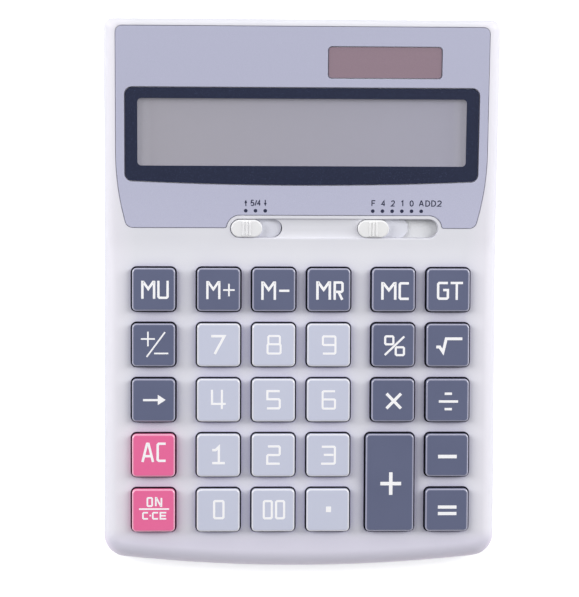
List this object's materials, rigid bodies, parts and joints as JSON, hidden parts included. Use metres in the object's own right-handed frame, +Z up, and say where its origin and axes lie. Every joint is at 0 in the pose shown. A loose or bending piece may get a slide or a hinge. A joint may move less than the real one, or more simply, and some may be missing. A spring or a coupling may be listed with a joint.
{
  "type": "desktop calculator",
  "caption": "Wedge-shaped desktop calculator with a tilted display, a solar window, two slide switches and square moulded keys in a soft-edged two-part plastic case.",
  "frame": {"origin": "on the table, under the middle of the casing's plan outline", "axes": "+X to the user's right, +Y from the keys towards the display, +Z up"},
  "size_m": [0.14, 0.1936, 0.0362],
  "materials": {
    "shell": "satin white moulded plastic",
    "faceplate": "satin anodised lavender grey",
    "display_window": "clear window with a navy border",
    "solar_window": "tinted window over the solar cell",
    "display_glass": "grey display glass",
    "solar_cell": "dark solar cell",
    "slate_key": "slate grey moulded key",
    "pale_key": "pale grey moulded key",
    "rose_key": "rose pink moulded key",
    "switch_knob": "pale moulded slide knob",
    "inner_plastic": "plain inner moulding",
    "keypad_rubber": "soft grey contact rubber",
    "foot_rubber": "black rubber",
    "circuit_board": "green laminate",
    "ribbon": "amber flexible film",
    "spring_steel": "plated steel",
    "battery_jacket": "plain dark battery jacket",
    "red_lead": "red insulated wire",
    "black_lead": "black insulated wire"
  },
  "bodies": {
    "casing": {"upper_housing": "shell", "lower_housing": "shell", "rubber_keypad": "keypad_rubber", "circuit_board": "circuit_board", "faceplate": "faceplate", "display_window": "display_window", "solar_window": "solar_window", "lcd_panel": "display_glass", "lcd_frame": "inner_plastic", "display_ribbon": "ribbon", "solar_cell": "solar_cell", "switch_guide": "inner_plastic", "battery": "battery_jacket", "battery_spring": "spring_steel", "battery_plate": "spring_steel", "positive_lead": "red_lead", "negative_lead": "black_lead", "solar_lead": "red_lead", "case_screw_1": "spring_steel", "foot_1": "foot_rubber", "case_screw_2": "spring_steel", "foot_2": "foot_rubber", "case_screw_3": "spring_steel", "foot_3": "foot_rubber", "case_screw_4": "spring_steel", "foot_4": "foot_rubber"},
    "rounding_slider": {"rounding_switch": "switch_knob", "rounding_wiper": "spring_steel"},
    "decimal_slider": {"decimal_switch": "switch_knob", "decimal_wiper": "spring_steel"},
    "battery_door": {"battery_cover": "shell"},
    "key_mu": {"key_mu": "slate_key"},
    "key_m_plus": {"key_m_plus": "slate_key"},
    "key_m_minus": {"key_m_minus": "slate_key"},
    "key_mr": {"key_mr": "slate_key"},
    "key_mc": {"key_mc": "slate_key"},
    "key_gt": {"key_gt": "slate_key"},
    "key_sign": {"key_sign": "slate_key"},
    "key_7": {"key_7": "pale_key"},
    "key_8": {"key_8": "pale_key"},
    "key_9": {"key_9": "pale_key"},
    "key_percent": {"key_percent": "slate_key"},
    "key_root": {"key_root": "slate_key"},
    "key_backspace": {"key_backspace": "slate_key"},
    "key_4": {"key_4": "pale_key"},
    "key_5": {"key_5": "pale_key"},
    "key_6": {"key_6": "pale_key"},
    "key_multiply": {"key_multiply": "slate_key"},
    "key_divide": {"key_divide": "slate_key"},
    "key_ac": {"key_ac": "rose_key"},
    "key_1": {"key_1": "pale_key"},
    "key_2": {"key_2": "pale_key"},
    "key_3": {"key_3": "pale_key"},
    "key_plus": {"key_plus": "slate_key"},
    "key_minus": {"key_minus": "slate_key"},
    "key_on": {"key_on": "rose_key"},
    "key_0": {"key_0": "pale_key"},
    "key_00": {"key_00": "pale_key"},
    "key_point": {"key_point": "pale_key"},
    "key_equals": {"key_equals": "slate_key"}
  },
  "joints": [
    {"name": "rounding_slide", "type": "slide", "parent": "casing", "child": "rounding_slider", "axis": [1, 0, 0], "range_m": [0, 0.00688]},
    {"name": "decimal_slide", "type": "slide", "parent": "casing", "child": "decimal_slider", "axis": [1, 0, 0], "range_m": [0, 0.0172]},
    {"name": "cover_slide", "type": "slide", "parent": "casing", "child": "battery_door", "axis": [0, 1, 0], "range_m": [0, 0.03]},
    {"name": "mu_press", "type": "slide", "parent": "casing", "child": "key_mu", "axis": [0, 0.0785, -0.9969], "range_m": [0, 0.002], "stiffness_N_per_m": 300, "springref_m": -0.0005, "deforming": ["rubber_keypad"]},
    {"name": "m_plus_press", "type": "slide", "parent": "casing", "child": "key_m_plus", "axis": [0, 0.0785, -0.9969], "range_m": [0, 0.002], "stiffness_N_per_m": 300, "springref_m": -0.0005, "deforming": ["rubber_keypad"]},
    {"name": "m_minus_press", "type": "slide", "parent": "casing", "child": "key_m_minus", "axis": [0, 0.0785, -0.9969], "range_m": [0, 0.002], "stiffness_N_per_m": 300, "springref_m": -0.0005, "deforming": ["rubber_keypad"]},
    {"name": "mr_press", "type": "slide", "parent": "casing", "child": "key_mr", "axis": [0, 0.0785, -0.9969], "range_m": [0, 0.002], "stiffness_N_per_m": 300, "springref_m": -0.0005, "deforming": ["rubber_keypad"]},
    {"name": "mc_press", "type": "slide", "parent": "casing", "child": "key_mc", "axis": [0, 0.0785, -0.9969], "range_m": [0, 0.002], "stiffness_N_per_m": 300, "springref_m": -0.0005, "deforming": ["rubber_keypad"]},
    {"name": "gt_press", "type": "slide", "parent": "casing", "child": "key_gt", "axis": [0, 0.0785, -0.9969], "range_m": [0, 0.002], "stiffness_N_per_m": 300, "springref_m": -0.0005, "deforming": ["rubber_keypad"]},
    {"name": "sign_press", "type": "slide", "parent": "casing", "child": "key_sign", "axis": [0, 0.0785, -0.9969], "range_m": [0, 0.002], "stiffness_N_per_m": 300, "springref_m": -0.0005, "deforming": ["rubber_keypad"]},
    {"name": "7_press", "type": "slide", "parent": "casing", "child": "key_7", "axis": [0, 0.0785, -0.9969], "range_m": [0, 0.002], "stiffness_N_per_m": 300, "springref_m": -0.0005, "deforming": ["rubber_keypad"]},
    {"name": "8_press", "type": "slide", "parent": "casing", "child": "key_8", "axis": [0, 0.0785, -0.9969], "range_m": [0, 0.002], "stiffness_N_per_m": 300, "springref_m": -0.0005, "deforming": ["rubber_keypad"]},
    {"name": "9_press", "type": "slide", "parent": "casing", "child": "key_9", "axis": [0, 0.0785, -0.9969], "range_m": [0, 0.002], "stiffness_N_per_m": 300, "springref_m": -0.0005, "deforming": ["rubber_keypad"]},
    {"name": "percent_press", "type": "slide", "parent": "casing", "child": "key_percent", "axis": [0, 0.0785, -0.9969], "range_m": [0, 0.002], "stiffness_N_per_m": 300, "springref_m": -0.0005, "deforming": ["rubber_keypad"]},
    {"name": "root_press", "type": "slide", "parent": "casing", "child": "key_root", "axis": [0, 0.0785, -0.9969], "range_m": [0, 0.002], "stiffness_N_per_m": 300, "springref_m": -0.0005, "deforming": ["rubber_keypad"]},
    {"name": "backspace_press", "type": "slide", "parent": "casing", "child": "key_backspace", "axis": [0, 0.0785, -0.9969], "range_m": [0, 0.002], "stiffness_N_per_m": 300, "springref_m": -0.0005, "deforming": ["rubber_keypad"]},
    {"name": "4_press", "type": "slide", "parent": "casing", "child": "key_4", "axis": [0, 0.0785, -0.9969], "range_m": [0, 0.002], "stiffness_N_per_m": 300, "springref_m": -0.0005, "deforming": ["rubber_keypad"]},
    {"name": "5_press", "type": "slide", "parent": "casing", "child": "key_5", "axis": [0, 0.0785, -0.9969], "range_m": [0, 0.002], "stiffness_N_per_m": 300, "springref_m": -0.0005, "deforming": ["rubber_keypad"]},
    {"name": "6_press", "type": "slide", "parent": "casing", "child": "key_6", "axis": [0, 0.0785, -0.9969], "range_m": [0, 0.002], "stiffness_N_per_m": 300, "springref_m": -0.0005, "deforming": ["rubber_keypad"]},
    {"name": "multiply_press", "type": "slide", "parent": "casing", "child": "key_multiply", "axis": [0, 0.0785, -0.9969], "range_m": [0, 0.002], "stiffness_N_per_m": 300, "springref_m": -0.0005, "deforming": ["rubber_keypad"]},
    {"name": "divide_press", "type": "slide", "parent": "casing", "child": "key_divide", "axis": [0, 0.0785, -0.9969], "range_m": [0, 0.002], "stiffness_N_per_m": 300, "springref_m": -0.0005, "deforming": ["rubber_keypad"]},
    {"name": "ac_press", "type": "slide", "parent": "casing", "child": "key_ac", "axis": [0, 0.0785, -0.9969], "range_m": [0, 0.002], "stiffness_N_per_m": 300, "springref_m": -0.0005, "deforming": ["rubber_keypad"]},
    {"name": "1_press", "type": "slide", "parent": "casing", "child": "key_1", "axis": [0, 0.0785, -0.9969], "range_m": [0, 0.002], "stiffness_N_per_m": 300, "springref_m": -0.0005, "deforming": ["rubber_keypad"]},
    {"name": "2_press", "type": "slide", "parent": "casing", "child": "key_2", "axis": [0, 0.0785, -0.9969], "range_m": [0, 0.002], "stiffness_N_per_m": 300, "springref_m": -0.0005, "deforming": ["rubber_keypad"]},
    {"name": "3_press", "type": "slide", "parent": "casing", "child": "key_3", "axis": [0, 0.0785, -0.9969], "range_m": [0, 0.002], "stiffness_N_per_m": 300, "springref_m": -0.0005, "deforming": ["rubber_keypad"]},
    {"name": "plus_press", "type": "slide", "parent": "casing", "child": "key_plus", "axis": [0, 0.0785, -0.9969], "range_m": [0, 0.002], "stiffness_N_per_m": 300, "springref_m": -0.0005, "deforming": ["rubber_keypad"]},
    {"name": "minus_press", "type": "slide", "parent": "casing", "child": "key_minus", "axis": [0, 0.0785, -0.9969], "range_m": [0, 0.002], "stiffness_N_per_m": 300, "springref_m": -0.0005, "deforming": ["rubber_keypad"]},
    {"name": "on_press", "type": "slide", "parent": "casing", "child": "key_on", "axis": [0, 0.0785, -0.9969], "range_m": [0, 0.002], "stiffness_N_per_m": 300, "springref_m": -0.0005, "deforming": ["rubber_keypad"]},
    {"name": "0_press", "type": "slide", "parent": "casing", "child": "key_0", "axis": [0, 0.0785, -0.9969], "range_m": [0, 0.002], "stiffness_N_per_m": 300, "springref_m": -0.0005, "deforming": ["rubber_keypad"]},
    {"name": "00_press", "type": "slide", "parent": "casing", "child": "key_00", "axis": [0, 0.0785, -0.9969], "range_m": [0, 0.002], "stiffness_N_per_m": 300, "springref_m": -0.0005, "deforming": ["rubber_keypad"]},
    {"name": "point_press", "type": "slide", "parent": "casing", "child": "key_point", "axis": [0, 0.0785, -0.9969], "range_m": [0, 0.002], "stiffness_N_per_m": 300, "springref_m": -0.0005, "deforming": ["rubber_keypad"]},
    {"name": "equals_press", "type": "slide", "parent": "casing", "child": "key_equals", "axis": [0, 0.0785, -0.9969], "range_m": [0, 0.002], "stiffness_N_per_m": 300, "springref_m": -0.0005, "deforming": ["rubber_keypad"]}
  ]
}
